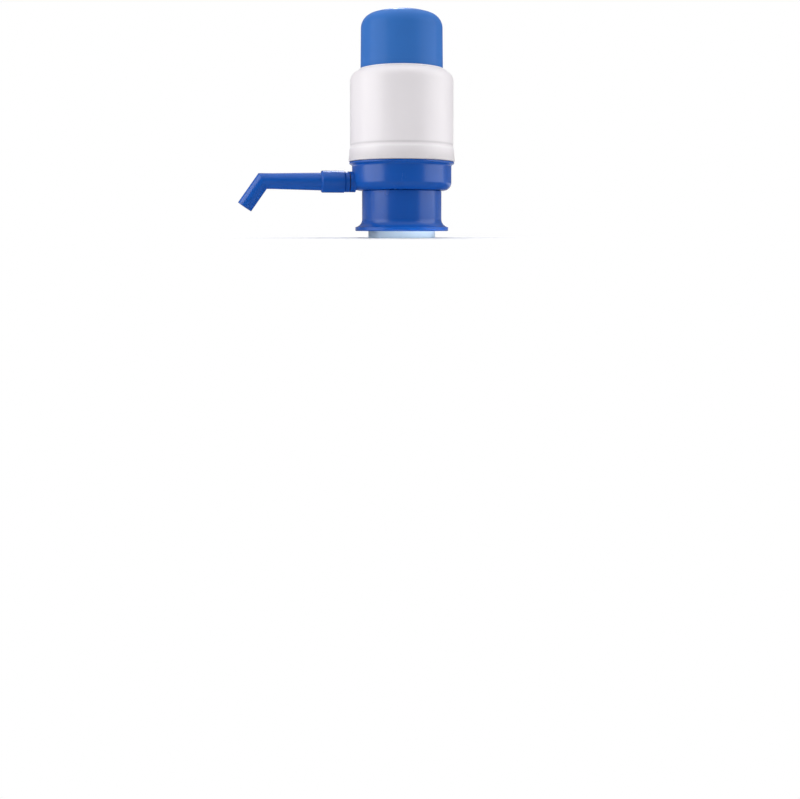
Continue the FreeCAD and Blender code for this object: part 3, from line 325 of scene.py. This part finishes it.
def makePlastic(name):
    s, w = finishes[name], wearAndPaintedLightSet
    material, tree = newMaterial(name)
    shader = tree.nodes["Principled BSDF"]
    shader.inputs["Specular IOR Level"].default_value = s["specular"]
    if "coat" in s:
        shader.inputs["Coat Weight"].default_value = s["coat"]
        shader.inputs["Coat Roughness"].default_value = w["coatRough"]
    surface = groupIn(tree, skin, **{"Grain Size": s["grain"], "Streak": s["streak"]})
    tone = mapRange(tree, surface.outputs["Tone"], w["toneFrom"], w["toneTo"], 0, 1, smooth=True)
    colour = mixColour(tree, tone, s["tone"], s["colour"])
    smoothest, roughest = s["rough"]
    rough = mapRange(tree, surface.outputs["Tone"], w["roughFrom"], w["roughTo"], roughest, smoothest)
    # lighter edges, some of them painted highlights, and darker edges of painted shade are mixed into the
    # colour here
    for edges, mix, edgeColour, edgeRough in (
            (s.get("wearAndHighlight", ()), w["wearAndHighlightMix"], s.get("wearAndHighlightColour"), w["wearAndHighlightRough"]),
            (s.get("paintedShade", ()), w["paintedShadeMix"], w["paintedShadeColour"], w["paintedShadeRough"])):
        mask = rimSum(tree, edges)
        if mask is not None:
            colour = mixColour(tree, mathNode(tree, "MULTIPLY", mask, mix), colour, edgeColour)
            rough = mathNode(tree, "ADD", rough, mathNode(tree, "MULTIPLY", mask, edgeRough))
    scuff = mathNode(tree, "MULTIPLY", surface.outputs["Scuff"], s["scuff"])
    rough = mathNode(tree, "ADD", rough, mathNode(tree, "MULTIPLY", scuff, w["scuffRough"]), clamp=True)
    wire(tree, colour, shader.inputs["Base Color"])
    wire(tree, rough, shader.inputs["Roughness"])
    seam = mathNode(tree, "MULTIPLY", groupIn(tree, parting).outputs["Line"], w["seamHeight"])
    height = mathNode(tree, "ADD", surface.outputs["Grain"], seam)
    height = mathNode(tree, "SUBTRACT", height, mathNode(tree, "MULTIPLY", scuff, w["scuffDepth"]))
    if "gate" in s:
        # the trimmed stub where the plastic entered the mould
        stub = mathNode(tree, "MULTIPLY", rimSum(tree, [s["gate"]]), w["gateHeight"])
        height = mathNode(tree, "ADD", height, stub)
    addBump(tree, height, s["bump"], shader)
    return material


metals = {
    "springSteel": {"colour": (0.62, 0.61, 0.59), "tone": (0.48, 0.47, 0.45), "rough": (0.22, 0.34)},
    "screwSteel": {"colour": (0.56, 0.55, 0.53), "tone": (0.44, 0.43, 0.41), "rough": (0.28, 0.42)},
}
steelSet = {"grain": 0.2, "streak": 1.0, "bump": 0.00001,
            "toneFrom": 0.25, "toneTo": 0.75, "roughFrom": 0.3, "roughTo": 0.7}


def makeSteel(name):
    # bright steel with fine upright streaks
    s, w = metals[name], steelSet
    material, tree = newMaterial(name)
    shader = tree.nodes["Principled BSDF"]
    shader.inputs["Metallic"].default_value = 1
    surface = groupIn(tree, skin, **{"Grain Size": w["grain"], "Streak": w["streak"]})
    tone = mapRange(tree, surface.outputs["Tone"], w["toneFrom"], w["toneTo"], 0, 1, smooth=True)
    wire(tree, mixColour(tree, tone, s["tone"], s["colour"]), shader.inputs["Base Color"])
    rough = mapRange(tree, surface.outputs["Grain"], w["roughFrom"], w["roughTo"], *s["rough"])
    wire(tree, rough, shader.inputs["Roughness"])
    addBump(tree, surface.outputs["Grain"], w["bump"], shader)
    return material


materials = {name: makePlastic(name) for name in finishes}
materials.update({name: makeSteel(name) for name in metals})
print("finishes:", ", ".join(materials))


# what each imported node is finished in

nodeFinish = {
    "press_cap": "capBlue", "sleeve": "housingWhite", "base_body": "baseBlue", "clamp_collar": "baseBlue",
    "neck_collet": "gripWhite", "spout_nipple": "baseBlue", "spout": "baseBlue", "bellows": "bellowsSoft",
    "return_spring": "springSteel", "bellows_top_plate": "innerWhite", "intake_valve": "milkySilicone",
    "outlet_valve": "milkySilicone", "cap_screws": "screwSteel", "deck_screws": "screwSteel",
    "valve_deck": "innerWhite", "bellows_clamp_ring": "innerWhite", "deck_seal": "sealBlack",
    "nipple_seal": "sealBlack", "spout_o_rings": "sealBlack", "neck_gasket": "milkySilicone",
}


def dressNodes():
    for name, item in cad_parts.items():
        for place in item.material_slots:
            place.material = materials[nodeFinish[name]]
    print("dressed", len(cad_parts), "nodes")


# pieces that are made here; outlines are in the XZ plane, radius and height in mm

def meshFrom(bm, name):
    mesh = bpy.data.meshes.new(name)
    bm.to_mesh(mesh)
    bm.free()
    return mesh


def finishPiece(bm, name, finish, body, node=None, smooth=True):
    bmesh.ops.recalc_face_normals(bm, faces=bm.faces)
    mesh = meshFrom(bm, name)
    if smooth:
        mesh.shade_smooth()
    mesh.materials.append(materials[finish])
    piece = addObject(name, mesh)
    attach(piece, body)
    if node:
        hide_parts(node)
    return piece


def outlineRing(bm, points):
    corners = [bm.verts.new((radius * mm, 0, height * mm)) for radius, height in points]
    for index, corner in enumerate(corners):
        bm.edges.new((corner, corners[(index + 1) % len(corners)]))
    return corners


def roundCorners(bm, corners, size, segments):
    bmesh.ops.bevel(bm, geom=corners, offset=size * mm, offset_type="OFFSET", segments=segments, profile=0.5,
                    affect="VERTICES", material=-1)


def spinRound(bm, steps):
    bmesh.ops.spin(bm, geom=bm.verts[:] + bm.edges[:], cent=(0, 0, 0), axis=(0, 0, 1), dvec=(0, 0, 0),
                   angle=2 * math.pi, steps=steps, use_merge=True, use_duplicate=False)


def coilUp(bm, runs, stepsPerTurn):
    # carries the ring up round the pump's axis, by turns and the rise of each, and closes both ends
    firstRing = bm.edges[:]
    ring = bm.verts[:] + bm.edges[:]
    for turns, rise in runs:
        swept = bmesh.ops.spin(bm, geom=ring, cent=(0, 0, 0), axis=(0, 0, 1),
                               dvec=(0, 0, rise * mm / stepsPerTurn), angle=turns * 2 * math.pi,
                               steps=turns * stepsPerTurn, use_merge=False, use_duplicate=False)
        ring = swept["geom_last"]
    lastRing = [item for item in ring if isinstance(item, bmesh.types.BMEdge)]
    bmesh.ops.contextual_create(bm, geom=firstRing)
    bmesh.ops.contextual_create(bm, geom=lastRing)


bellowsSet = {
    "root": 28.6, "crest": 40.0, "wall": 1.5, "low": 67.0, "high": 123.0,
    "firstFold": 74.0, "lastFold": 121.5, "folds": 5,
    "narrowTurn": 0.2, "wideTurn": 1.0,     # half heights of a fold's turns
    "rounding": 0.6, "roundingSteps": 3, "edgeRounding": 0.25, "edgeSteps": 2,
    "steps": 128, "keep": 0.357,
    "foot": [(27.1, 65.0), (37.6, 65.0), (37.6, 67.0), (27.1, 67.0)],
    "rim": [(28.6, 123.0), (36.0, 123.0), (36.0, 128.4), (29.2, 128.4), (29.2, 127.3), (33.3, 127.3),
            (33.3, 124.8), (27.1, 124.8), (27.1, 123.0)],
}


def makeBellows():
    s = bellowsSet
    pitch = (s["lastFold"] - s["firstFold"]) / s["folds"]
    root, crest, wall = s["root"], s["crest"], s["wall"]
    narrow, wide = s["narrowTurn"], s["wideTurn"]
    outside = [(root, s["low"])]
    inside = [(root - wall, s["low"])]
    for fold in range(s["folds"]):
        low = s["firstFold"] + pitch * fold
        middle, high = low + pitch / 2, low + pitch
        outside += [(root, low + narrow), (crest, middle - wide),
                    (crest, middle + wide), (root, high - narrow)]
        inside += [(root - wall, low + wide), (crest - wall, middle - narrow),
                   (crest - wall, middle + narrow), (root - wall, high - wide)]
    outside.append((root, s["high"]))
    inside.append((root - wall, s["high"]))
    bm = bmesh.new()
    corners = outlineRing(bm, outside + inside[::-1])
    soft = [corner for corner in corners if s["low"] * mm < corner.co.z < s["high"] * mm]
    roundCorners(bm, soft, s["rounding"], s["roundingSteps"])
    spinRound(bm, s["steps"])
    folds = finishPiece(bm, "bellows_folds", "bellowsSoft", "pump_head", "bellows")
    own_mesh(folds)
    for name, body in (("foot", "pump_head"), ("rim", "press_cap")):
        bm = bmesh.new()
        roundCorners(bm, outlineRing(bm, s[name]), s["edgeRounding"], s["edgeSteps"])
        spinRound(bm, s["steps"])
        finishPiece(bm, "bellows_" + name, "bellowsSoft", body, "bellows")
    print("bellows made")


springSet = {"radius": 18.0, "wire": 1.0, "start": 66.15, "endRise": 2.1, "openRise": 10.64, "openTurns": 5,
             "sides": 14, "stepsPerTurn": 48, "anchor": 65.0, "keep": 0.399}


def makeSpring():
    s = springSet
    bm = bmesh.new()
    place = Matrix.Translation((s["radius"] * mm, 0, s["start"] * mm))
    bmesh.ops.create_circle(bm, cap_ends=False, segments=s["sides"], radius=s["wire"] * mm,
                            matrix=place @ Matrix.Rotation(math.pi / 2, 4, "X"))
    runs = ((1, s["endRise"]), (s["openTurns"], s["openRise"]), (1, s["endRise"]))
    coilUp(bm, runs, s["stepsPerTurn"])
    coil = finishPiece(bm, "spring_coil", "springSteel", "pump_head", "return_spring")
    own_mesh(coil)
    print("spring made")


# neck thread: a ridge round the base's skirt, and one inside the collar half a pitch above it;
# skirt and collar are the radii of the ridge's root and crest

threadSet = {"pitch": 3.0, "turns": 7, "start": 14.0, "halfRoot": 0.8, "halfCrest": 0.35, "stepsPerTurn": 72,
             "skirt": (30.85, 31.75), "collar": (32.05, 31.15)}


def makeThread(name, body, radii, lift):
    s = threadSet
    root, crest = radii
    middle = s["start"] + lift
    bm = bmesh.new()
    outlineRing(bm, [(root, middle - s["halfRoot"]), (crest, middle - s["halfCrest"]),
                     (crest, middle + s["halfCrest"]), (root, middle + s["halfRoot"])])
    coilUp(bm, ((s["turns"], s["pitch"]),), s["stepsPerTurn"])
    finishPiece(bm, name, "baseBlue", body, smooth=False)


# floor, world and lamps

stageSet = {
    "floorRadius": 1.6, "floorSides": 96, "mouthRadius": 0.0265, "floorColour": (0.90, 0.90, 0.90),
    "shadowFrom": 0.07, "shadowTo": 0.17,       # where the shadow fades out, m from the pump's axis
    "before": 0.03,                             # strength in front of the pump, of floor and world
    "floorBehind": 1.20, "floorSweep": 0.5,     # the floor's strength in gloss this far behind, m
    "behind": 0.20, "sweepFrom": -0.25, "sweepTo": 0.45,
    "above": 0.56, "topFrom": 0.35, "topTo": 0.95,
}
lamps = [
    # name, angle to the right of the lens, elevation, distance, width, height, strength, shows in gloss,
    # then the height that it is aimed at and its spread in degrees, where these aren't the usual ones
    ("leftSoftbox", -69, 6, 0.90, 0.92, 1.10, 1.74, True),
    ("rightSoftbox", 81, 8, 0.80, 0.87, 1.10, 1.36, True),
    ("rearFill", 180, 12, 1.20, 1.20, 1.20, 0.45, False),
    ("topSoftbox", 0, 84, 0.80, 0.90, 0.60, 1.75, False),
    ("domeSpark", 182.0, 42, 0.90, 0.060, 0.30, 16.0, True),
    ("neckStrip", 34, 0, 0.30, 0.14, 0.008, 0.68, False, 0.0045, 3),
    ("mouthFill", 0, -90, 0.35, 0.30, 0.30, 1.2, False, 0.0),
]
wattsPerArea = 4    # lamp power for a strength of 1, W per square metre


def rearward(tree, place):
    # how far a place or a direction lies behind the pump; the azimuth is a fixed number in every view
    turn = math.radians(cameraSet["azimuth"])
    toRear = addNode(tree, "ShaderNodeVectorMath", operation="DOT_PRODUCT")
    toRear.inputs[1].default_value = (-math.sin(turn), math.cos(turn), 0)
    wire(tree, place, toRear.inputs[0])
    return toRear.outputs["Value"]


def seenWhite(tree, path):
    # the rays that see a white background; gloss sees the sweep and the room instead
    return mathNode(tree, "MAXIMUM", path["Is Camera Ray"], path["Is Transmission Ray"])


def makeFloor():
    s = stageSet
    bm = bmesh.new()
    bmesh.ops.create_circle(bm, cap_ends=True, segments=s["floorSides"], radius=s["floorRadius"])
    # open under the pump's mouth, so that light from below reaches the inside
    middle = bm.faces[:]
    bmesh.ops.inset_region(bm, faces=middle, thickness=s["floorRadius"] - s["mouthRadius"], use_boundary=True,
                           use_even_offset=True)
    bmesh.ops.delete(bm, geom=middle, context="FACES")
    floor = addObject("floor", meshFrom(bm, "floor"))
    material, tree = newMaterial("paleFloor")
    tree.nodes.remove(tree.nodes["Principled BSDF"])
    matt = addNode(tree, "ShaderNodeBsdfDiffuse")
    matt.inputs["Color"].default_value = (*s["floorColour"], 1)
    white = addNode(tree, "ShaderNodeEmission")
    mirrored = addNode(tree, "ShaderNodeEmission")
    clear = addNode(tree, "ShaderNodeBsdfTransparent")
    path = addNode(tree, "ShaderNodeLightPath").outputs
    place = addNode(tree, "ShaderNodeTexCoord").outputs["Object"]
    sweep = mapRange(tree, rearward(tree, place), 0.0, s["floorSweep"], s["before"], s["floorBehind"],
                     smooth=True)
    wire(tree, sweep, mirrored.inputs["Strength"])
    reach = addNode(tree, "ShaderNodeVectorMath", operation="LENGTH")
    wire(tree, place, reach.inputs[0])
    away = mapRange(tree, reach.outputs["Value"], s["shadowFrom"], s["shadowTo"], 0, 1, smooth=True)
    below = addNode(tree, "ShaderNodeNewGeometry").outputs["Backfacing"]
    shader = matt.outputs[0]
    # white to the lens away from the shadow, the sweep in gloss, and nothing to a lens below
    for factor, other in ((mathNode(tree, "MULTIPLY", away, seenWhite(tree, path)), white),
                          (path["Is Glossy Ray"], mirrored),
                          (mathNode(tree, "MULTIPLY", below, path["Is Camera Ray"]), clear)):
        mix = addNode(tree, "ShaderNodeMixShader")
        for socket, source in zip(mix.inputs, (factor, shader, other.outputs[0])):
            wire(tree, source, socket)
        shader = mix.outputs[0]
    wire(tree, shader, tree.nodes["Material Output"].inputs["Surface"])
    floor.data.materials.append(material)


def makeWorld():
    # a dim room, brighter behind the pump and overhead; the lens sees white all round
    s = stageSet
    world = bpy.data.worlds.new("studio")
    bpy.context.scene.world = world
    world.use_nodes = True
    tree = world.node_tree
    back = tree.nodes["Background"]
    place = addNode(tree, "ShaderNodeTexCoord").outputs["Generated"]
    sweep = mapRange(tree, rearward(tree, place), s["sweepFrom"], s["sweepTo"], s["before"], s["behind"],
                     smooth=True)
    top = mapRange(tree, splitAxes(tree, place)["Z"], s["topFrom"], s["topTo"], 0, s["above"], smooth=True)
    room = mathNode(tree, "ADD", sweep, top)
    path = addNode(tree, "ShaderNodeLightPath").outputs
    back.inputs["Color"].default_value = (1, 1, 1, 1)
    wire(tree, mathNode(tree, "MAXIMUM", room, seenWhite(tree, path)), back.inputs["Strength"])


def makeLamp(name, angle, elevation, distance, width, height, strength, inGloss, aim=0.09, spread=180):
    data = bpy.data.lights.new(name, "AREA")
    data.shape = "RECTANGLE"
    data.size = width
    data.size_y = height
    data.energy = strength * width * height * wattsPerArea
    data.spread = math.radians(spread)
    lamp = addObject(name, data)
    turn, rise = math.radians(cameraSet["azimuth"] + angle), math.radians(elevation)
    out = Vector((math.sin(turn) * math.cos(rise), -math.cos(turn) * math.cos(rise), math.sin(rise)))
    lamp.location = out * distance + Vector((0, 0, aim))
    lamp.rotation_euler = out.to_track_quat("Z", "Y").to_euler()
    lamp.visible_camera = False
    lamp.visible_glossy = inGloss


makeCamera()
makeFloor()
makeWorld()
for lamp in lamps:
    makeLamp(*lamp)
bpy.context.scene.view_settings.view_transform = "Standard"
print("stage set with", len(lamps), "lamps")

dressNodes()
makeBellows()
makeSpring()
makeThread("skirt_thread", "pump_head", threadSet["skirt"], 0)
makeThread("collar_thread", "clamp_collar", threadSet["collar"], threadSet["pitch"] / 2)
print("threads made")
